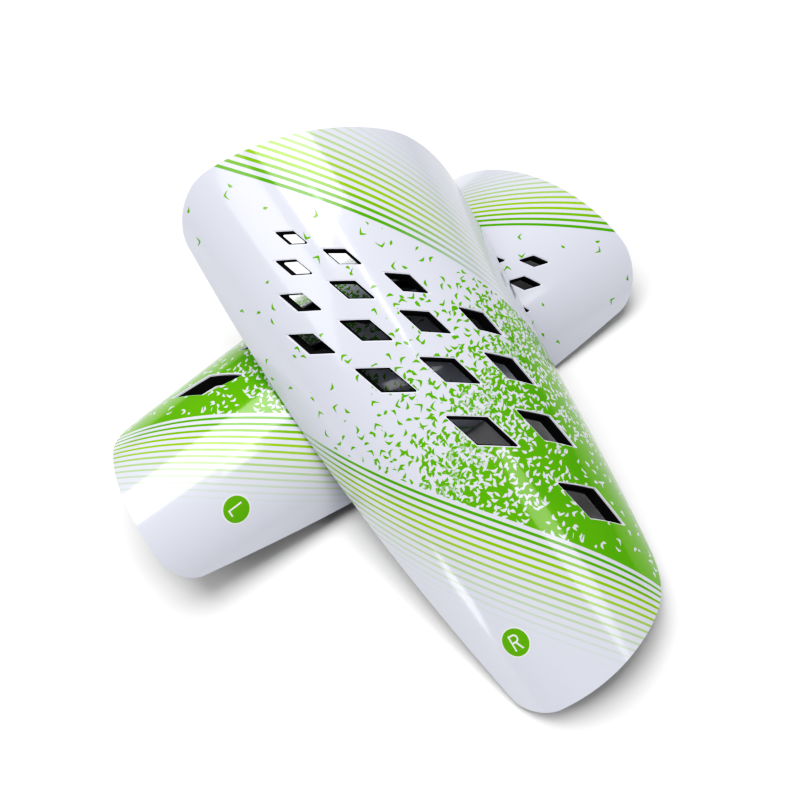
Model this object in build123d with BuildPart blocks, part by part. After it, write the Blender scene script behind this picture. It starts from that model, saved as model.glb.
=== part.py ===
"""A pair of slip-in shin guards, one for each leg, lying crossed on a floor.

Each guard is a moulded conical shell with a printed film on its outer face, an adhesive
sheet and a foam liner behind it, and sixteen diamond vents cut through every layer.
The left guard lies on the floor on its side rims, and the right guard lies across it.
The origin is on the floor under the middle of the box round both guards, and +Z is up.
"""
from build123d import *
import math
import os

# Shape of one guard, in millimetres and degrees. In a guard's own frame X runs across the
# leg, Y runs up the leg along the crest, and Z points away from the shin at the crest.
CREST_RADIUS = 48.0        # from the crest down to the axis that the shell curves round
TAPER = 5.0                # slope of the crest against that axis
CONE_LENGTH = 250.0        # length of the uncut cone
CUT_DEPTH = 45.0           # how far below the crest the outline is cut
WALL_REACH = 8.0           # how far the square-cut walls run each side of the outer face

# Outline of a right guard, seen square to the crest: each corner with its rounding,
# and how far the side that follows it bows out
KNEE_INNER = (-49.5, 108.0)
KNEE_OUTER = (49.5, 80.0)
ANKLE_OUTER = (31.5, -91.5)
ANKLE_INNER = (-32.5, -105.5)
CORNERS = (KNEE_INNER, KNEE_OUTER, ANKLE_OUTER, ANKLE_INNER)
CORNER_RADII = (14.0, 34.0, 21.0, 10.0)
SIDE_BOWS = (5.0, 5.2, 3.6, 5.4)

# Layers, from the outer face towards the shin
FILM_THICKNESS = 0.15
SHELL_THICKNESS = 0.8
ADHESIVE_THICKNESS = 0.15
FOAM_THICKNESS = 4.25

# Vents: four columns and four rows of diamonds that grow towards the outer ankle corner.
# S is measured round the outer face from the crest, and T along the crest.
VENTS_EACH_WAY = 4
FIRST_VENT = (-22.1, 71.1)
COLUMN_STEP = (11.3, -14.6)
COLUMN_STEP_GROWTH = 1.24
ROW_STEP = (-4.5, -8.45)
ROW_STEP_SWING = 1.6       # how much further out the rows run in each next column
ROW_STEP_STRETCH = 1.3     # how much longer the rows' steps are in each next column
ROW_STEP_GROWTH = 1.25
VENT_EDGE = 6.7
VENT_GROWTH = 1.16
VENT_EDGE_SLOPES = (-32.0, -73.0)
VENT_CUT_REACH = 12.0
FILM_LIP = 0.3             # bare shell left round each vent
FOAM_LIP = -0.4            # foam left showing inside each vent

# How the guards lie: place of the crest's middle, then turns about X, Y and Z
LEFT_PLACE = Location((-9.69, 25.22, 37.35), (0.28, 0.38, -50.7))
RIGHT_PLACE = Location((28.71, -15.18, 58.6), (19.5, 13.9, 29.2))
RIGHT_HAND = 1
LEFT_HAND = -1

TAPER_ANGLE = math.radians(TAPER)
AXIS_POINT = Vector(0, 0, -CREST_RADIUS)
AXIS_DIRECTION = Vector(0, math.cos(TAPER_ANGLE), -math.sin(TAPER_ANGLE))
AXIS_SQUARE = Vector(0, math.sin(TAPER_ANGLE), math.cos(TAPER_ANGLE))


def geometric_sum(growth, count):
    """How many first steps long a run of ever longer steps is."""
    return (growth**count - 1) / (growth - 1)


def vent_centre(column, row):
    """Place of a vent, round the outer face and along the crest."""
    across = geometric_sum(COLUMN_STEP_GROWTH, column)
    down = geometric_sum(ROW_STEP_GROWTH, row)
    row_step_s = ROW_STEP[0] + ROW_STEP_SWING * column
    row_step_t = ROW_STEP[1] * ROW_STEP_STRETCH**column
    s = FIRST_VENT[0] + COLUMN_STEP[0] * across + row_step_s * row
    t = FIRST_VENT[1] + COLUMN_STEP[1] * across + row_step_t * down
    return s, t


def tangent_plane(place, hand, s, t):
    """Plane that touches the outer face at S round from the crest and T along it."""
    radius = CREST_RADIUS * math.cos(TAPER_ANGLE) + t * math.sin(TAPER_ANGLE)
    along_axis = t * math.cos(TAPER_ANGLE) - CREST_RADIUS * math.sin(TAPER_ANGLE)
    turn = hand * s / radius
    radial = Vector(math.sin(turn), 0, 0) + AXIS_SQUARE * math.cos(turn)
    tangent = Vector(math.cos(turn), 0, 0) - AXIS_SQUARE * math.sin(turn)
    outwards = radial * math.cos(TAPER_ANGLE) - AXIS_DIRECTION * math.sin(TAPER_ANGLE)
    touching = AXIS_POINT + AXIS_DIRECTION * along_axis + radial * radius
    return Plane(place * Plane(touching, x_dir=tangent, z_dir=outwards).location)


def bowed_side(start, end, bow, hand):
    """One side of the outline, an arc that bows away from the middle of the guard."""
    along = Vector(*end) - Vector(*start)
    outwards = Vector(-along.Y, along.X).normalized()
    top = (Vector(*start) + Vector(*end)) / 2 + outwards * bow
    ThreePointArc((hand * start[0], start[1]), (hand * top.X, top.Y), (hand * end[0], end[1]))


def diamond(column, row, lip, hand):
    """A vent's outline, moved out on every side by the lip, or in where it is negative."""
    edge = VENT_EDGE * VENT_GROWTH ** (column + row)
    first = Vector(edge, 0).rotate(Axis.Z, VENT_EDGE_SLOPES[0])
    second = Vector(edge, 0).rotate(Axis.Z, VENT_EDGE_SLOPES[1])
    corner = (first + second) / -2
    points = [corner, corner + first, corner + first + second, corner + second]
    Polygon(*[(hand * point.X, point.Y) for point in points], align=None)
    if lip != 0:
        offset(amount=lip, kind=Kind.INTERSECTION, mode=Mode.REPLACE)


def uncut_cone(place, depth, thickness):
    """A whole conical layer, made by turning a strip below the crest round the axis."""
    with BuildPart() as cone:
        with BuildSketch(Plane(place * Plane.YZ.location)):
            with Locations((0, -depth - thickness / 2)):
                Rectangle(CONE_LENGTH, thickness)
        revolve(axis=Axis(AXIS_POINT, AXIS_DIRECTION).located(place))
    return cone


def guard_blank(place, hand):
    """A thick curved plate in the guard's outline, its rim walls square to its face."""
    with BuildPart() as skin:
        add(uncut_cone(place, 0.0, SHELL_THICKNESS))
        with BuildSketch(Plane(place)) as outline:
            with BuildLine():
                for number, corner in enumerate(CORNERS):
                    next_corner = CORNERS[(number + 1) % len(CORNERS)]
                    bowed_side(corner, next_corner, SIDE_BOWS[number], hand)
            make_face()
            for corner, radius in zip(CORNERS, CORNER_RADII):
                sharp = outline.vertices().sort_by_distance((hand * corner[0], corner[1]))[0]
                fillet(sharp, radius=radius)
        extrude(amount=-CUT_DEPTH, mode=Mode.INTERSECT)
    outwards = Axis(place.position, Plane(place).z_dir)
    outer_face = skin.faces().filter_by(GeomType.CONE).sort_by(outwards)[-1]
    with BuildPart() as blank:
        thicken(outer_face, amount=WALL_REACH, both=True)
    return blank


def guard_layer(name, place, hand, blank, depth, thickness, lip):
    """One layer of the guard, cut to the blank's outline and vented."""
    with BuildPart() as layer:
        add(uncut_cone(place, depth, thickness))
        add(blank, mode=Mode.INTERSECT)
        for column in range(VENTS_EACH_WAY):
            for row in range(VENTS_EACH_WAY):
                with BuildSketch(tangent_plane(place, hand, *vent_centre(column, row))):
                    diamond(column, row, lip, hand)
                extrude(amount=VENT_CUT_REACH, both=True, mode=Mode.SUBTRACT)
    layer.part.label = name
    export_step(layer.part, f"parts/{name}.step")
    return layer


def guard(side, place, hand):
    """All the layers of one guard, from the printed film in to the foam."""
    blank = guard_blank(place, hand)
    depth = 0.0
    for layer_name, thickness, lip in (
        ("printed_film", FILM_THICKNESS, FILM_LIP),
        ("shell", SHELL_THICKNESS, 0.0),
        ("adhesive_sheet", ADHESIVE_THICKNESS, 0.0),
        ("foam_liner", FOAM_THICKNESS, FOAM_LIP),
    ):
        guard_layer(f"{side}_{layer_name}", place, hand, blank, depth, thickness, lip)
        depth += thickness


os.makedirs("parts", exist_ok=True)
guard("left", LEFT_PLACE, LEFT_HAND)
guard("right", RIGHT_PLACE, RIGHT_HAND)
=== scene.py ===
import math

import bpy
import numpy as np
from mathutils import Matrix, Vector
from mathutils.geometry import delaunay_2d_cdt


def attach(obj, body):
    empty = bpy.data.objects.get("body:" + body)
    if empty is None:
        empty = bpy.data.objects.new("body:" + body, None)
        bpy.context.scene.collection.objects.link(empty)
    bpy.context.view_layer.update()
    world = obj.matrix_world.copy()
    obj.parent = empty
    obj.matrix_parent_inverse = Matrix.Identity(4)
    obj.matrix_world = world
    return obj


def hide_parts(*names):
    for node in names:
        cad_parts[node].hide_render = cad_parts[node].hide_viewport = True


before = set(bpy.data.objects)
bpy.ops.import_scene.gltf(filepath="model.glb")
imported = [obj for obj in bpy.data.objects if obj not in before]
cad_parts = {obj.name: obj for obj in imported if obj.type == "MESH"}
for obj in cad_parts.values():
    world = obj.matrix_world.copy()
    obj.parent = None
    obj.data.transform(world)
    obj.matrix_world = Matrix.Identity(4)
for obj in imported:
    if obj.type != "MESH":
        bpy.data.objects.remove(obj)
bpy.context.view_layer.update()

MM = 0.001

# The curved face: a cone round an axis below the crest
CREST_RADIUS = 48.0
TAPER = math.radians(5.0)
AXIS_POINT = np.array((0.0, 0.0, -CREST_RADIUS))
AXIS = np.array((0.0, math.cos(TAPER), -math.sin(TAPER)))
SQUARE = np.array((0.0, math.sin(TAPER), math.cos(TAPER)))
ACROSS = np.array((1.0, 0.0, 0.0))

# Each guard: which way S runs, where the crest's middle is, its turns, and its badge
GUARDS = {
    "left": {"hand": -1, "place": (-9.69, 25.22, 37.35), "turns": (0.28, 0.38, -50.7),
             "badge": (-28.4, -73.6)},
    "right": {"hand": 1, "place": (28.71, -15.18, 58.6), "turns": (19.5, 13.9, 29.2),
              "badge": (-27.3, -79.0)},
}

# Outline, seen square to the crest: corners, their roundings, and how far the sides bow out
CORNERS = ((-49.5, 108.0), (49.5, 80.0), (31.5, -91.5), (-32.5, -105.5))
CORNER_RADII = (14.0, 34.0, 21.0, 10.0)
SIDE_BOWS = (5.0, 5.2, 3.6, 5.4)
OUTLINE_STEP = 1.2
ROUNDING_POINTS = 40
SIDE_POINTS = 90

# Layers, from the outer face in
FILM_THICKNESS = 0.15
SHELL_THICKNESS = 0.8
ADHESIVE_THICKNESS = 0.15
FOAM_THICKNESS = 4.25
SHELL_TOP = FILM_THICKNESS
SHELL_BOTTOM = SHELL_TOP + SHELL_THICKNESS
FOAM_TOP = SHELL_BOTTOM + ADHESIVE_THICKNESS
FOAM_BOTTOM = FOAM_TOP + FOAM_THICKNESS

# Vents
VENTS_EACH_WAY = 4
FIRST_VENT = (-22.1, 71.1)
COLUMN_STEP = (11.3, -14.6)
COLUMN_STEP_GROWTH = 1.24
ROW_STEP = (-4.5, -8.45)
ROW_STEP_SWING = 1.6
ROW_STEP_STRETCH = 1.3
ROW_STEP_GROWTH = 1.25
VENT_EDGE = 6.7
VENT_GROWTH = 1.16
VENT_EDGE_SLOPES = (-32.0, -73.0)
VENT_ROUNDING = 0.3
FILM_LIP = 0.3             # bare shell left round each vent
FOAM_LIP = -0.4            # foam left showing inside each vent

# Directions of the print's stripe bands in S and T
ALONG_STRIPES = (0.64, -0.77)
ACROSS_STRIPES = (0.77, 0.64)

# Stripe bands: where the first line runs, spacing, first and last widths, and lines
LOWER_STRIPES = (-36.7, -2.4, 0.95, 0.70, 14)
UPPER_STRIPES = (43.7, 2.5, 1.10, 0.75, 15)
STRIPES_FADE_FROM = 3.0    # the line of a band from which it fades out
LIME_FROM = 4.0            # the line of a band by which it is lime

# Flecks lie between the bands and crowd together along them, in mm
FLECKS_BEGIN = -35.0
FLECKS_END = 41.8
EDGE_BLUR = 0.2
CROWD_DRIFT = 34.0         # how far a slow noise moves the crowding
CROWD_LEAN = -0.10         # how much the crowding changes across the bands
SOLID_DRIFT = 40.0
SOLID_FROM = (12.0, 14.0)
# Where crowding brings flecks in: from, to, and the share of cells filled at each end
FEW = (-62.0, 20.0, 0.07, 1.0)
MANY = (-25.0, 26.0, 0.0, 1.0)
PACKED = (-8.0, 30.0, 0.0, 1.0)
GAPS = (10.0, 72.0, 0.97, 0.08)
GAPS_SHOW = (2.0, 16.0)
# Scatters of green flecks: cell, shift, length, width, bend, and where they come in
GREEN_FLECKS = (
    (3.3, (11.3, 4.7, 0.0), 1.55, 0.50, 0.5, FEW),
    (2.9, (53.1, 31.9, 0.0), 1.5, 0.52, -0.5, MANY),
    (2.5, (97.7, 71.3, 0.0), 1.35, 0.55, 0.45, MANY),
    (2.2, (31.9, 97.1, 0.0), 1.2, 0.60, -0.35, PACKED),
    (2.6, (71.7, 13.9, 0.0), 1.4, 0.62, 0.3, PACKED),
)
# Scatters of white flecks in the green: the same, and the share of the gaps they fill
WHITE_FLECKS = (
    (2.7, (17.9, 61.3, 0.0), 1.5, 0.55, 0.5, 1.0),
    (2.3, (83.1, 47.9, 0.0), 1.15, 0.45, -0.45, 0.8),
)

# The lining's knit, in mm
LOOP_WIDTH = 0.9
LOOP_LENGTH = 0.7

# Side badge
BADGE_RADIUS = 4.7
BADGE_RING = 5.25
BADGE_LIFT = 0.03
BADGE_POINTS = 72
LETTER_GAP = 0.25          # least way from the badge's filling points to its letter

WORLD_STRENGTH = 0.27
FLOOR_REACH = 4.0          # metres each way
LAMP_TARGET = (0.01, 0.0, 0.04)
# Lamps: name, way from the target, distance and size in metres, power in watts
LAMPS = (
    ("key", (-0.14, 0.18, 0.97), 1.0, (0.70, 0.70), 9.0),
    ("left_fill", (-0.57, -0.33, 0.75), 1.0, (0.30, 0.50), 1.4),
    ("overhead", (0.10, -0.14, 1.0), 1.0, (0.06, 0.26), 0.35),
    ("right_fill", (0.62, -0.28, 0.73), 1.0, (0.26, 0.34), 1.0),
    ("low_strip", (-0.66, -0.75, 0.03), 0.9, (0.10, 0.12), 0.22),
)
# Darkest tones and what they are pressed down to
TONE_CURVE = ((0.08, 0.028), (0.20, 0.145), (0.40, 0.385))

LENS = 40.15
SENSOR_WIDTH = 36.0
CAMERA_PLACE = (0.03498, -0.15735, 0.31127)
CAMERA_RIGHT = (0.99495, 0.0, -0.10035)
CAMERA_FORWARD = (-0.08809, 0.47897, -0.87340)


# ---------------------------------------------------------------- the conical surface

def surface(s, t, depth):
    """Points at S, T and depth, with the outward, crosswise and upward directions there."""
    s, t, depth = np.broadcast_arrays(*(np.asarray(v, float) for v in (s, t, depth)))
    radius = CREST_RADIUS * math.cos(TAPER) + t * math.sin(TAPER)
    along = t * math.cos(TAPER) - CREST_RADIUS * math.sin(TAPER)
    turn = (s / radius)[:, None]
    radial = np.sin(turn) * ACROSS + np.cos(turn) * SQUARE
    crosswise = np.cos(turn) * ACROSS - np.sin(turn) * SQUARE
    outwards = radial * math.cos(TAPER) - AXIS * math.sin(TAPER)
    upwards = np.cross(outwards, crosswise)
    points = AXIS_POINT + along[:, None] * AXIS + radius[:, None] * radial
    return points - depth[:, None] * outwards, outwards, crosswise, upwards


def sheet_place(points):
    """S, T and depth of points near the outer face."""
    away = points - AXIS_POINT
    along = away @ AXIS
    square = away - along[:, None] * AXIS
    distance = np.linalg.norm(square, axis=1)
    t_here = (along + CREST_RADIUS * math.sin(TAPER)) / math.cos(TAPER)
    outer = CREST_RADIUS * math.cos(TAPER) + t_here * math.sin(TAPER)
    depth = (outer - distance) * math.cos(TAPER)
    along = along - depth * math.sin(TAPER)
    t = (along + CREST_RADIUS * math.sin(TAPER)) / math.cos(TAPER)
    radius = CREST_RADIUS * math.cos(TAPER) + t * math.sin(TAPER)
    turn = np.arctan2(square @ ACROSS, square @ SQUARE)
    return turn * radius, t, depth


def plan_to_sheet(plan):
    """S and T of points of the outer face given by where they are seen square to the crest."""
    t = plan[:, 1].copy()
    for _ in range(12):
        radius = CREST_RADIUS * math.cos(TAPER) + t * math.sin(TAPER)
        s = np.arcsin(np.clip(plan[:, 0] / radius, -1, 1)) * radius
        t += plan[:, 1] - surface(s, t, 0.0)[0][:, 1]
    return np.stack((s, t), 1)


# ---------------------------------------------------------------- outline and vents

def side_circle(start, end, bow):
    """Centre and radius of the arc that bows out to the left of the way from start to end."""
    start, end = np.array(start), np.array(end)
    chord = end - start
    length = np.hypot(*chord)
    left = np.array((-chord[1], chord[0])) / length
    radius = (length**2 / 4 + bow**2) / (2 * bow)
    return (start + end) / 2 + left * (bow - radius), radius


def corner_centre(before, after, corner, rounding):
    """Centre of the rounding that touches two sides from inside."""
    reach_before = before[1] - rounding
    reach_after = after[1] - rounding
    apart = after[0] - before[0]
    distance = np.hypot(*apart)
    along = (reach_before**2 - reach_after**2 + distance**2) / (2 * distance)
    off = math.sqrt(max(reach_before**2 - along**2, 0.0))
    base = before[0] + apart / distance * along
    sideways = np.array((-apart[1], apart[0])) / distance * off
    return min((base + sideways, base - sideways), key=lambda c: np.hypot(*(c - corner)))


def touching(circle, centre):
    """Where a rounding about centre touches a side's circle."""
    towards = centre - circle[0]
    return circle[0] + towards / np.hypot(*towards) * circle[1]


def arc(centre, start, end, count):
    """Points from start up to, but not at, end, the short way round centre."""
    first = math.atan2(*(start - centre)[::-1])
    sweep = math.atan2(*(end - centre)[::-1]) - first
    sweep = (sweep + math.pi) % (2 * math.pi) - math.pi
    angles = first + sweep * np.arange(count) / count
    return centre + np.hypot(*(start - centre)) * np.stack((np.cos(angles), np.sin(angles)), 1)


def evenly(loop, step):
    """A closed loop of points, spaced evenly."""
    closed = np.vstack((loop, loop[:1]))
    lengths = np.concatenate(((0.0,), np.cumsum(np.hypot(*np.diff(closed, axis=0).T))))
    places = np.linspace(0.0, lengths[-1], round(lengths[-1] / step), endpoint=False)
    return np.stack([np.interp(places, lengths, closed[:, axis]) for axis in (0, 1)], 1)


def outward_of(loop):
    """Directions out of a clockwise loop at its points."""
    way = np.roll(loop, -1, axis=0) - np.roll(loop, 1, axis=0)
    left = np.stack((-way[:, 1], way[:, 0]), 1)
    return left / np.hypot(*left.T)[:, None]


def outline_loop():
    """The guard's outline in S and T, clockwise."""
    count = len(CORNERS)
    sides = [side_circle(CORNERS[i], CORNERS[(i + 1) % count], SIDE_BOWS[i])
             for i in range(count)]
    centres = [corner_centre(sides[i - 1], sides[i], np.array(CORNERS[i]), CORNER_RADII[i])
               for i in range(count)]
    plan = []
    for i in range(count):
        after = (i + 1) % count
        leaves = touching(sides[i], centres[i])
        plan.append(arc(centres[i], touching(sides[i - 1], centres[i]), leaves,
                        ROUNDING_POINTS))
        plan.append(arc(sides[i][0], leaves, touching(sides[i], centres[after]), SIDE_POINTS))
    return evenly(plan_to_sheet(np.vstack(plan)), OUTLINE_STEP)


OUTLINE = outline_loop()
OUTLINE_OUTWARD = outward_of(OUTLINE)


def geometric_sum(growth, count):
    """How many first steps long a run of ever longer steps is."""
    return (growth**count - 1) / (growth - 1)


def vent_centre(column, row):
    """Place of a vent in S and T."""
    across = geometric_sum(COLUMN_STEP_GROWTH, column)
    down = geometric_sum(ROW_STEP_GROWTH, row)
    s = FIRST_VENT[0] + COLUMN_STEP[0] * across + (ROW_STEP[0] + ROW_STEP_SWING * column) * row
    t = FIRST_VENT[1] + COLUMN_STEP[1] * across + ROW_STEP[1] * ROW_STEP_STRETCH**column * down
    return s, t


def diamond(edge, grow):
    """A vent's rounded outline, moved out by grow, and its outward directions, clockwise."""
    slopes = [math.radians(slope) for slope in VENT_EDGE_SLOPES]
    sides = [np.array((math.cos(slope), math.sin(slope))) for slope in slopes]
    shrunk = edge - 2 * VENT_ROUNDING / math.sin(slopes[0] - slopes[1])
    first, second = (side * shrunk for side in sides)
    corners = [(-first - second) / 2, (first - second) / 2, (first + second) / 2,
               (second - first) / 2]
    points, outward = [], []
    for number, corner in enumerate(corners):
        leave = (slopes[0], slopes[1], slopes[0] + math.pi, slopes[1] + math.pi)[number]
        arrive = (slopes[1] + math.pi, slopes[0], slopes[1], slopes[0] + math.pi)[number]
        sweep = (leave - arrive + math.pi) % (2 * math.pi) - math.pi
        for share in np.linspace(0.0, 1.0, 5):
            angle = arrive + sweep * share + math.pi / 2
            way = np.array((math.cos(angle), math.sin(angle)))
            points.append(corner + way * (VENT_ROUNDING + grow))
            outward.append(way)
        along = corners[(number + 1) % 4] - corner
        count = max(2, round(np.hypot(*along) / OUTLINE_STEP))
        for share in np.arange(1, count) / count:
            points.append(corner + along * share + way * (VENT_ROUNDING + grow))
            outward.append(way)
    return np.array(points), np.array(outward)


def vent_ring(column, row, lip, inset, depth):
    """A vent's outline at a depth, cut straight in square to the face at its middle."""
    s, t = vent_centre(column, row)
    spread = math.radians(VENT_EDGE_SLOPES[0] - VENT_EDGE_SLOPES[1])
    edge = VENT_EDGE * VENT_GROWTH ** (column + row) + 2 * lip / math.sin(spread)
    flat, outward = diamond(edge, inset)
    middle, inwards, crosswise, upwards = surface([s], [t], 0.0)
    points = middle + flat[:, :1] * crosswise + flat[:, 1:] * upwards
    for _ in range(3):
        sheet = sheet_place(points)
        points = points - (depth - sheet[2])[:, None] * inwards
    sheet = sheet_place(points)
    return np.stack(sheet[:2], 1), outward


def outline_ring(inset, depth):
    """The guard's outline moved in by an inset."""
    return OUTLINE - OUTLINE_OUTWARD * inset, OUTLINE_OUTWARD


# ---------------------------------------------------------------- meshes

def inside(points, loop):
    """Which points lie inside a closed loop."""
    x, y = points[:, 0][:, None], points[:, 1][:, None]
    ahead = np.roll(loop, -1, axis=0)
    crosses = (loop[:, 1] > y) != (ahead[:, 1] > y)
    rise = np.where(ahead[:, 1] == loop[:, 1], 1.0, ahead[:, 1] - loop[:, 1])
    meets = loop[:, 0] + (y - loop[:, 1]) / rise * (ahead[:, 0] - loop[:, 0])
    return (crosses & (x < meets)).sum(1) % 2 == 1


def clear_of(points, loop, gap):
    """Which points are more than a gap from every point of a loop."""
    return np.array([np.hypot(*(loop - point).T).min() > gap for point in points])


def loop_edges(loops):
    """Edges round closed loops whose points follow one another."""
    edges, start = [], 0
    for loop in loops:
        edges += [(start + i, start + (i + 1) % len(loop)) for i in range(len(loop))]
        start += len(loop)
    return edges


def turning(points, corners):
    """Above zero where a triangle runs anticlockwise."""
    a, b, c = (points[corners[:, i]] for i in range(3))
    return (b - a)[:, 0] * (c - a)[:, 1] - (b - a)[:, 1] * (c - a)[:, 0]


def fill(outer, holes, step):
    """Triangles between an outer loop and its holes, as points and corner numbers.
    The loops' own points come first, in order."""
    loops = [outer, *holes]
    low, high = outer.min(0), outer.max(0)
    rows = np.arange(low[1], high[1], step * math.sqrt(3) / 2)
    grid = np.array([(x + step / 2 * (number % 2), y) for number, y in enumerate(rows)
                     for x in np.arange(low[0], high[0], step)])
    grid = grid[inside(grid, outer)]
    for loop in loops:
        grid = grid[clear_of(grid, loop, step * 0.6)]
    for hole in holes:
        grid = grid[~inside(grid, hole)]
    points = np.vstack((*loops, grid))
    made = delaunay_2d_cdt([Vector(point) for point in points], loop_edges(loops), [], 0,
                           1e-7)
    own = [group[0] for group in made[3]]
    corners = np.array([[own[i] for i in face] for face in made[2]])
    middles = points[corners].mean(1)
    keep = inside(middles, outer)
    for hole in holes:
        keep &= ~inside(middles, hole)
    corners = corners[keep]
    clockwise = turning(points, corners) < 0
    corners[clockwise] = corners[clockwise][:, ::-1]
    return points, corners


def placement(side):
    """A guard's place as a rotation matrix and a position."""
    turns = [Matrix.Rotation(math.radians(angle), 3, axis)
             for angle, axis in zip(GUARDS[side]["turns"], "XYZ")]
    return np.array(turns[0] @ turns[1] @ turns[2]), np.array(GUARDS[side]["place"])


def make_piece(name, side, sheet, directions, faces, material_numbers, materials):
    """A mesh from S, T and depth of its points, outward directions given as
    (out of the face, S way, T way), and faces wound for a right guard."""
    hand = GUARDS[side]["hand"]
    turn, place = placement(side)
    points, outwards, crosswise, upwards = surface(*sheet.T)
    normals = (directions[:, :1] * outwards + directions[:, 1:2] * crosswise
               + directions[:, 2:] * upwards)
    normals /= np.linalg.norm(normals, axis=1)[:, None]
    mirror = np.array((hand, 1.0, 1.0))
    points = ((points * mirror) @ turn.T + place) * MM
    normals = (normals * mirror) @ turn.T
    if hand < 0:
        faces = [tuple(face)[::-1] for face in faces]
    mesh = bpy.data.meshes.new(name)
    mesh.from_pydata(points.tolist(), [], [tuple(int(i) for i in face) for face in faces])
    for material in materials:
        mesh.materials.append(material)
    mesh.polygons.foreach_set("material_index", np.array(material_numbers, np.int32))
    mesh.polygons.foreach_set("use_smooth", np.ones(len(faces), bool))
    place_data = mesh.attributes.new("sheet", "FLOAT_VECTOR", "POINT")
    place_data.data.foreach_set("vector", sheet.astype(np.float32).ravel())
    mesh.update()
    mesh.normals_split_custom_set_from_vertices(normals.tolist())
    made = bpy.data.objects.new(name, mesh)
    bpy.context.scene.collection.objects.link(made)
    return made


def edge_profile(top, bottom, top_round, bottom_round, segments):
    """(inset, depth, tilt) down a wall from the upper face to the lower one.
    Tilt is 90 degrees where the wall faces sideways, 0 and 180 on the faces."""
    profile = []
    for share in np.linspace(0.0, 1.0, segments + 1):
        angle = share * math.pi / 2
        profile.append((top_round * (1 - math.sin(angle)),
                        top + top_round * (1 - math.cos(angle)), angle))
    for share in np.linspace(0.0, 1.0, segments + 1):
        angle = math.pi / 2 * (1 + share)
        profile.append((bottom_round * (1 - math.sin(angle)),
                        bottom - bottom_round * (1 + math.cos(angle)), angle))
    return profile


def make_layer(name, side, top, bottom, materials, lip=0.0, rim=(0.05, 0.05),
               vent=(0.05, 0.05), segments=3, step=2.6):
    """One layer of a guard with rounded edges, pierced by the vents.
    Materials are for the upper face, the walls and the lower face."""
    vents = [(column, row) for column in range(VENTS_EACH_WAY) for row in range(VENTS_EACH_WAY)]
    walls = [[(*outline_ring(inset, depth), depth, tilt)
              for inset, depth, tilt in edge_profile(top, bottom, *rim, segments)]]
    for column, row in vents:
        walls.append([(*vent_ring(column, row, lip, inset, depth), depth, tilt)
                      for inset, depth, tilt in edge_profile(top, bottom, *vent, segments)])
    sheet, directions, faces, numbers = [], [], [], []
    count = 0
    rings_of = []
    for number, rings in enumerate(walls):
        sideways = 1.0 if number == 0 else -1.0
        starts = []
        for loop, outward, depth, tilt in rings:
            starts.append(count)
            count += len(loop)
            sheet.append(np.column_stack((loop, np.full(len(loop), depth))))
            directions.append(np.column_stack((np.full(len(loop), math.cos(tilt)),
                                               outward * math.sin(tilt) * sideways)))
        rings_of.append(starts)
        length = len(rings[0][0])
        for upper, lower in zip(starts, starts[1:]):
            for i in range(length):
                j = (i + 1) % length
                quad = (upper + i, upper + j, lower + j, lower + i)
                faces.append(quad if number == 0 else quad[::-1])
                numbers.append(1)
    for ring, depth, way, material in ((0, top, 1.0, 0), (-1, bottom, -1.0, 2)):
        loops = [rings[ring][0] for rings in walls]
        points, corners = fill(loops[0], loops[1:], step)
        known = sum(len(loop) for loop in loops)
        where = np.concatenate([np.arange(len(loop)) + starts[ring]
                                for loop, starts in zip(loops, rings_of)]
                               + [np.arange(len(points) - known) + count])
        extra = points[known:]
        count += len(extra)
        sheet.append(np.column_stack((extra, np.full(len(extra), depth))))
        directions.append(np.tile((way, 0.0, 0.0), (len(extra), 1)))
        corners = where[corners]
        faces += [tuple(face) if way > 0 else tuple(face)[::-1] for face in corners]
        numbers += [material] * len(corners)
    return make_piece(name, side, np.vstack(sheet), np.vstack(directions), faces, numbers,
                      materials)


# ---------------------------------------------------------------- badge letters

def bow(centre, radius, first, last, count=14):
    """Points round part of a circle, angles in degrees."""
    angles = np.radians(np.linspace(first, last, count))
    return [(centre[0] + radius * math.cos(angle), centre[1] + radius * math.sin(angle))
            for angle in angles]


def letter_loops(side):
    """Outline of the side letter, and the opening in it if it has one."""
    if side == "left":
        return [[(-1.3, 2.75), (-1.3, -2.75), (1.3, -2.75), (1.3, -2.15), (-0.7, -2.15),
                 (-0.7, 2.75)]]
    outer = [(-1.6, 2.75), (-1.6, -2.75), (-1.0, -2.75), (-1.0, -0.25), (-0.1, -0.25),
             (1.15, -2.75), (1.85, -2.75), (0.62, -0.20)]
    outer += bow((0.2, 1.25), 1.5, -70.0, 90.0)
    counter = [(-1.0, 0.35)] + bow((0.2, 1.25), 0.9, -90.0, 90.0) + [(-1.0, 2.15)]
    return [outer, counter]


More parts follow.
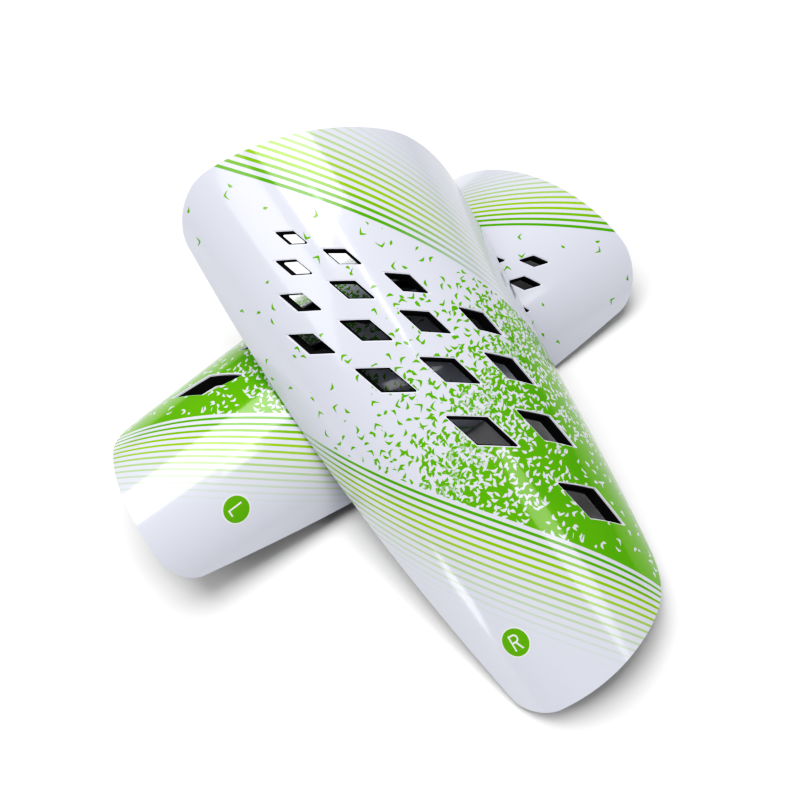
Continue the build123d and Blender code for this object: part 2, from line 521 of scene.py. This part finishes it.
def make_badge(name, side, materials):
    """A printed disc with a thin ring and the guard's side letter."""
    hand = GUARDS[side]["hand"]
    rings = [np.array(bow((0.0, 0.0), radius, 0.0, 360.0, BADGE_POINTS + 1)[:-1])
             for radius in (BADGE_RING, BADGE_RADIUS)]
    letters = [np.array(loop) for loop in letter_loops(side)]
    loops = [*rings, *letters]
    spots = [point for radius in (1.0, 2.0, 2.9, 3.8)
             for point in bow((0.0, 0.0), radius, 0.0, 360.0, round(radius * 8) + 1)[:-1]]
    spots = np.array([spot for spot in spots
                      if all(clear_of([np.array(spot)], evenly(loop, 0.3), LETTER_GAP)[0]
                             for loop in letters)])
    points = np.vstack((*loops, spots))
    made = delaunay_2d_cdt([Vector(point) for point in points], loop_edges(loops), [], 0,
                           1e-7)
    points = np.array([tuple(point) for point in made[0]])
    corners = np.array([list(face) for face in made[2]])
    middles = points[corners].mean(1)
    white = np.hypot(*middles.T) > BADGE_RADIUS * math.cos(math.pi / BADGE_POINTS)
    drawn = inside(middles, letters[0])
    for opening in letters[1:]:
        drawn &= ~inside(middles, opening)
    flip = (turning(points, corners) < 0) != (hand < 0)
    corners[flip] = corners[flip][:, ::-1]
    place = GUARDS[side]["badge"]
    sheet = np.column_stack((place[0] + hand * points[:, 0], place[1] + points[:, 1],
                             np.full(len(points), -BADGE_LIFT)))
    directions = np.tile((1.0, 0.0, 0.0), (len(points), 1))
    return make_piece(name, side, sheet, directions, corners, (white | drawn).astype(int),
                      materials)


# ---------------------------------------------------------------- materials

class Graph:
    """A node material while it is put together."""

    def __init__(self, name):
        self.material = bpy.data.materials.new(name)
        self.material.use_nodes = True
        self.tree = self.material.node_tree
        self.shader = self.tree.nodes["Principled BSDF"]

    def put(self, value, socket):
        """Link a socket to a value that comes from a node, or set it."""
        if isinstance(value, bpy.types.NodeSocket):
            self.tree.links.new(value, socket)
        else:
            socket.default_value = value

    def node(self, kind, inputs=None, **settings):
        """A new node with its inputs and settings filled in."""
        made = self.tree.nodes.new("ShaderNode" + kind)
        for key, value in settings.items():
            setattr(made, key, value)
        for key, value in (inputs or {}).items():
            self.put(value, made.inputs[key])
        return made

    def math(self, operation, *values):
        made = self.node("Math", operation=operation)
        for value, socket in zip(values, made.inputs):
            self.put(value, socket)
        return made.outputs[0]

    def ramp(self, value, low, high, low_value=0.0, high_value=1.0):
        """A smooth step of value from low to high."""
        made = self.node("MapRange", {"Value": value, "From Min": low, "From Max": high,
                                      "To Min": low_value, "To Max": high_value},
                         interpolation_type="SMOOTHSTEP")
        return made.outputs["Result"]

    def mix(self, share, first, second):
        made = self.node("Mix", data_type="RGBA")
        self.put(share, made.inputs[0])
        self.put(first, made.inputs[6])
        self.put(second, made.inputs[7])
        return made.outputs[2]

    def sheet(self):
        """S, T and depth here, in millimetres."""
        made = self.node("Attribute", attribute_name="sheet", attribute_type="GEOMETRY")
        return made.outputs["Vector"]

    def parts(self, vector):
        made = self.node("SeparateXYZ", {"Vector": vector})
        return made.outputs["X"], made.outputs["Y"], made.outputs["Z"]

    def blend_of(self, vector, weights):
        """The S and T parts of a vector, weighted and added."""
        x, y, _ = self.parts(vector)
        return self.math("ADD", self.math("MULTIPLY", x, weights[0]),
                         self.math("MULTIPLY", y, weights[1]))

    def noise(self, vector, scale, detail=2.0):
        made = self.node("TexNoise", {"Vector": vector, "Scale": scale, "Detail": detail})
        return made.outputs["Fac"]

    def bump(self, height, strength, distance):
        made = self.node("Bump", {"Height": height, "Strength": strength,
                                  "Distance": distance})
        self.put(made.outputs["Normal"], self.shader.inputs["Normal"])

    def set(self, **values):
        """Fill in the shader's inputs, with _ for a space in their names."""
        for key, value in values.items():
            self.put(value, self.shader.inputs[key.replace("_", " ")])


WHITE = (0.70, 0.715, 0.80, 1.0)
GREEN = (0.170, 0.470, 0.001, 1.0)
DEEP_GREEN = (0.115, 0.390, 0.001, 1.0)
LIME = (0.310, 0.560, 0.004, 1.0)


def slivers(graph, place, cell, shift, length, width, bend, density):
    """1 inside small bent slivers, one in each cell of a scatter, where density allows."""
    moved = graph.node("VectorMath", {0: place, 1: shift}, operation="ADD").outputs[0]
    scatter = graph.node("TexVoronoi", {"Vector": moved, "Scale": 1.0 / cell,
                                        "Randomness": 0.95}, voronoi_dimensions="2D")
    chance = graph.node("SeparateColor", {"Color": scatter.outputs["Color"]})
    lot, turn, size = chance.outputs
    away = graph.node("VectorMath", {0: moved, 1: scatter.outputs["Position"]},
                      operation="SUBTRACT").outputs[0]
    angle = graph.math("MULTIPLY", turn, 4 * math.pi)
    turned = graph.node("VectorRotate", {"Vector": away, "Angle": angle},
                        rotation_type="Z_AXIS").outputs[0]
    x, y, _ = graph.parts(turned)
    reach = graph.math("MULTIPLY", graph.math("ADD", graph.math("MULTIPLY", size, 0.7), 0.65),
                       length)
    share = graph.math("DIVIDE", x, reach)
    taper = graph.math("SUBTRACT", 1.0, graph.math("POWER", graph.math("ABSOLUTE", share), 1.6))
    curve = graph.math("MULTIPLY", graph.math("MULTIPLY", x, share), bend)
    kink = graph.math("MULTIPLY", graph.math("ABSOLUTE", x), graph.math("SUBTRACT", size, 0.35))
    centre = graph.math("ADD", curve, kink)
    middle = graph.math("SUBTRACT", centre, bend * length * 0.3)
    off = graph.math("ABSOLUTE", graph.math("SUBTRACT", y, middle))
    within = graph.math("SUBTRACT", graph.math("MULTIPLY", taper, width), off)
    drawn = graph.ramp(within, -0.03, 0.05)
    there = graph.math("GREATER_THAN", density, lot)
    return graph.math("MULTIPLY", drawn, there)


def stripe_band(graph, across, first, spacing, width_first, width_last, lines):
    """How strongly a run of thin parallel lines is drawn, and how lime it is."""
    count = graph.math("DIVIDE", graph.math("SUBTRACT", across, first), spacing)
    number = graph.math("ROUND", count)
    off = graph.math("MULTIPLY", graph.math("ABSOLUTE", graph.math("SUBTRACT", count, number)),
                     abs(spacing))
    half = graph.ramp(number, 0.0, float(lines), width_first / 2, width_last / 2)
    drawn = graph.ramp(graph.math("SUBTRACT", half, off), -0.10, 0.10)
    begun = graph.math("GREATER_THAN", number, -0.5)
    faded = graph.ramp(number, STRIPES_FADE_FROM, float(lines), 1.0, 0.0)
    strength = graph.math("MULTIPLY", graph.math("MULTIPLY", drawn, begun), faded)
    return strength, graph.ramp(number, 0.0, LIME_FROM)


def fleck_field(graph, flat, across, along):
    """How green the flecks make the film: single flecks at one end, solid at the other."""
    drift = graph.math("MULTIPLY", graph.math("SUBTRACT", graph.noise(flat, 0.09), 0.5),
                       CROWD_DRIFT)
    lean = graph.math("MULTIPLY", across, CROWD_LEAN)
    crowd = graph.math("ADD", graph.math("ADD", along, drift), lean)
    green = 0.0
    for *fleck, comes_in in GREEN_FLECKS:
        more = slivers(graph, flat, *fleck, graph.ramp(crowd, *comes_in))
        green = graph.math("MAXIMUM", green, more)
    rough = graph.math("MULTIPLY", graph.math("SUBTRACT", graph.noise(flat, 0.5), 0.5),
                       SOLID_DRIFT)
    solid = graph.ramp(graph.math("ADD", crowd, rough), *SOLID_FROM)
    green = graph.math("MAXIMUM", green, solid)
    gaps = graph.ramp(crowd, *GAPS)
    holes = 0.0
    for *fleck, share in WHITE_FLECKS:
        more = slivers(graph, flat, *fleck, graph.math("MULTIPLY", gaps, share))
        holes = graph.math("MAXIMUM", holes, more)
    holes = graph.math("MULTIPLY", holes, graph.ramp(crowd, *GAPS_SHOW))
    green = graph.math("MULTIPLY", green, graph.math("SUBTRACT", 1.0, holes))
    lower_edge = graph.ramp(across, FLECKS_BEGIN, FLECKS_BEGIN + EDGE_BLUR)
    upper_edge = graph.ramp(across, FLECKS_END - EDGE_BLUR, FLECKS_END, 1.0, 0.0)
    return graph.math("MULTIPLY", green, graph.math("MULTIPLY", lower_edge, upper_edge))


def print_material():
    """Glossy printed film: white, with green flecks that crowd into solid green."""
    graph = Graph("printed_film")
    flat = graph.node("VectorMath", {0: graph.sheet(), 1: (1.0, 1.0, 0.0)},
                      operation="MULTIPLY").outputs[0]
    across = graph.blend_of(flat, ACROSS_STRIPES)
    along = graph.blend_of(flat, ALONG_STRIPES)
    green = fleck_field(graph, flat, across, along)
    tone = graph.mix(graph.noise(flat, 0.05), GREEN, DEEP_GREEN)
    colour = graph.mix(green, WHITE, tone)
    lower, lower_way = stripe_band(graph, across, *LOWER_STRIPES)
    upper, upper_way = stripe_band(graph, across, *UPPER_STRIPES)
    lower = graph.math("MULTIPLY", lower, graph.ramp(along, -72.0, -30.0))
    upper = graph.math("MULTIPLY", upper, graph.ramp(along, -45.0, 12.0, 1.0, 0.12))
    for strength, way in ((lower, lower_way), (upper, upper_way)):
        colour = graph.mix(strength, colour, graph.mix(way, DEEP_GREEN, LIME))
    graph.set(Base_Color=colour, Roughness=0.14, IOR=1.45, Coat_Weight=0.3,
              Coat_Roughness=0.035)
    graph.bump(graph.noise(flat, 0.35, 3.0), 0.10, 0.0002)
    return graph.material


def plastic_material(name, colour, roughness):
    """Moulded plastic with a faint grain and slightly uneven gloss."""
    graph = Graph(name)
    place = graph.node("TexCoord").outputs["Object"]
    cloud = graph.noise(place, 60.0, 3.0)
    shade = tuple(channel * 0.93 for channel in colour[:3]) + (1.0,)
    graph.set(Base_Color=graph.mix(cloud, colour, shade),
              Roughness=graph.ramp(cloud, 0.3, 0.7, roughness * 0.85, roughness * 1.2))
    graph.bump(graph.noise(place, 2500.0, 2.0), 0.12, 0.0001)
    return graph.material


def adhesive_material():
    """A thin dull film of dried contact adhesive with a cloudy, streaky look."""
    graph = Graph("adhesive_film")
    place = graph.node("TexCoord").outputs["Object"]
    cloud = graph.noise(place, 180.0, 4.0)
    graph.set(Base_Color=graph.mix(cloud, (0.055, 0.053, 0.05, 1.0), (0.03, 0.03, 0.03, 1.0)),
              Roughness=0.55)
    graph.bump(cloud, 0.3, 0.0002)
    return graph.material


def foam_cut_material():
    """Cut edge of black EVA foam: fine closed cells."""
    graph = Graph("foam_cut")
    place = graph.node("TexCoord").outputs["Object"]
    cells = graph.node("TexVoronoi", {"Vector": place, "Scale": 2200.0})
    grain = graph.noise(place, 500.0, 3.0)
    colour = graph.mix(grain, (0.008, 0.008, 0.009, 1.0), (0.022, 0.022, 0.024, 1.0))
    graph.set(Base_Color=colour, Roughness=0.85, Specular_IOR_Level=0.2)
    graph.bump(cells.outputs["Distance"], 0.5, 0.0003)
    return graph.material


def foam_face_material():
    """Dark knitted lining over the foam: columns of small loops."""
    graph = Graph("foam_lining")
    place = graph.sheet()
    x, y, _ = graph.parts(place)
    column = graph.math("SINE", graph.math("MULTIPLY", x, 2 * math.pi / LOOP_WIDTH))
    lean = graph.math("MULTIPLY", graph.math("ABSOLUTE", column), 1.6)
    turns = graph.math("MULTIPLY", y, 2 * math.pi / LOOP_LENGTH)
    loop = graph.math("SINE", graph.math("ADD", turns, lean))
    knit = graph.math("MULTIPLY", graph.math("ADD", graph.math("ABSOLUTE", column), 0.4),
                      graph.math("ADD", graph.math("MULTIPLY", loop, 0.5), 0.5))
    fuzz = graph.noise(place, 3.0, 4.0)
    height = graph.math("ADD", knit, graph.math("MULTIPLY", fuzz, 0.6))
    # Colour follows the knit's height: painted shade, darker in the hollows between loops and
    # lighter on the loop tops, with random fuzz in the tone as well.
    colour = graph.mix(graph.ramp(height, 0.3, 1.5), (0.045, 0.045, 0.050, 1.0),
                       (0.200, 0.200, 0.215, 1.0))
    graph.set(Base_Color=colour, Roughness=0.9, Sheen_Weight=0.25, Sheen_Roughness=0.5,
              Specular_IOR_Level=0.15)
    graph.bump(height, 0.6, 0.0003)
    return graph.material


def ink_material(name, colour):
    """Glossy printed ink with slight unevenness."""
    graph = Graph(name)
    place = graph.sheet()
    cloud = graph.noise(place, 0.8, 3.0)
    shade = tuple(channel * 0.85 for channel in colour[:3]) + (1.0,)
    graph.set(Base_Color=graph.mix(cloud, colour, shade), Roughness=0.16, Coat_Weight=0.6,
              Coat_Roughness=0.035)
    graph.bump(graph.noise(place, 0.35, 3.0), 0.10, 0.0002)
    return graph.material


# ---------------------------------------------------------------- the guards

film_print = print_material()
shell_plastic = plastic_material("shell_plastic", (0.80, 0.81, 0.88, 1.0), 0.22)
adhesive = adhesive_material()
foam_cut = foam_cut_material()
foam_lining = foam_face_material()
badge_inks = [ink_material("badge_green", GREEN),
              ink_material("badge_white", (0.88, 0.90, 0.90, 1.0))]

for side in GUARDS:
    body = side + "_guard"
    film = make_layer(side + "_print", side, 0.0, FILM_THICKNESS,
                      [film_print, shell_plastic, shell_plastic], lip=FILM_LIP,
                      rim=(0.06, 0.03), vent=(0.06, 0.03), segments=2, step=2.2)
    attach(film, body)
    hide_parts(side + "_printed_film")
    shell = make_layer(side + "_moulded_shell", side, SHELL_TOP, SHELL_BOTTOM,
                       [shell_plastic] * 3, rim=(0.06, 0.20), vent=(0.15, 0.10))
    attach(shell, body)
    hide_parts(side + "_shell")
    liner = make_layer(side + "_padding", side, FOAM_TOP, FOAM_BOTTOM,
                       [foam_cut, foam_cut, foam_lining], lip=FOAM_LIP,
                       rim=(0.25, 1.1), vent=(0.12, 0.5), segments=4)
    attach(liner, body)
    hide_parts(side + "_foam_liner")
    badge = make_badge(side + "_badge", side, badge_inks)
    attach(badge, body)
    sheet_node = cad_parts[side + "_adhesive_sheet"]
    for slot in sheet_node.material_slots:
        slot.material = adhesive

# ---------------------------------------------------------------- floor, light, camera

def make_floor():
    """A plain pale floor under the guards."""
    graph = Graph("studio_floor")
    cloud = graph.noise(graph.node("TexCoord").outputs["Object"], 4.0, 2.0)
    graph.set(Base_Color=graph.mix(cloud, (0.95, 0.95, 0.95, 1.0), (0.97, 0.97, 0.97, 1.0)),
              Roughness=0.6, Specular_IOR_Level=0.2)
    corners = [(-1, -1), (1, -1), (1, 1), (-1, 1)]
    mesh = bpy.data.meshes.new("studio_floor")
    mesh.from_pydata([(x * FLOOR_REACH, y * FLOOR_REACH, 0.0) for x, y in corners], [],
                     [(0, 1, 2, 3)])
    mesh.materials.append(graph.material)
    floor = bpy.data.objects.new("studio_floor", mesh)
    bpy.context.scene.collection.objects.link(floor)


def softbox(name, direction, distance, size, power):
    """A rectangular lamp in a direction from its target, facing it."""
    light = bpy.data.lights.new(name, "AREA")
    light.shape = "RECTANGLE"
    light.size, light.size_y = size
    light.energy = power
    lamp = bpy.data.objects.new(name, light)
    way = Vector(direction).normalized()
    lamp.location = Vector(LAMP_TARGET) + way * distance
    lamp.rotation_mode = "QUATERNION"
    lamp.rotation_quaternion = way.to_track_quat("Z", "Y")
    bpy.context.scene.collection.objects.link(lamp)


def make_world():
    """Plain white surroundings."""
    world = bpy.data.worlds.new("studio")
    world.use_nodes = True
    background = world.node_tree.nodes["Background"]
    background.inputs["Color"].default_value = (1.0, 1.0, 1.0, 1.0)
    background.inputs["Strength"].default_value = WORLD_STRENGTH
    bpy.context.scene.world = world


def set_tones():
    """The photograph's deep shadows: dark tones are pressed down, the rest left alone."""
    view = bpy.context.scene.view_settings
    view.view_transform = "Standard"
    view.use_curve_mapping = True
    curve = view.curve_mapping.curves[3]
    for tone, pressed in TONE_CURVE:
        curve.points.new(tone, pressed)
    view.curve_mapping.update()


def make_camera():
    """A camera at the photograph's viewing angle."""
    data = bpy.data.cameras.new("camera")
    data.lens = LENS
    data.sensor_width = SENSOR_WIDTH
    data.clip_start = 0.01
    camera = bpy.data.objects.new("camera", data)
    bpy.context.scene.collection.objects.link(camera)
    right = Vector(CAMERA_RIGHT).normalized()
    forward = Vector(CAMERA_FORWARD).normalized()
    up = right.cross(forward).normalized()
    turn = Matrix((right, up, -forward)).transposed()
    camera.matrix_world = Matrix.Translation(CAMERA_PLACE) @ turn.to_4x4()
    bpy.context.scene.camera = camera


make_floor()
for lamp_facts in LAMPS:
    softbox(*lamp_facts)
make_world()
set_tones()
make_camera()

bpy.context.view_layer.update()
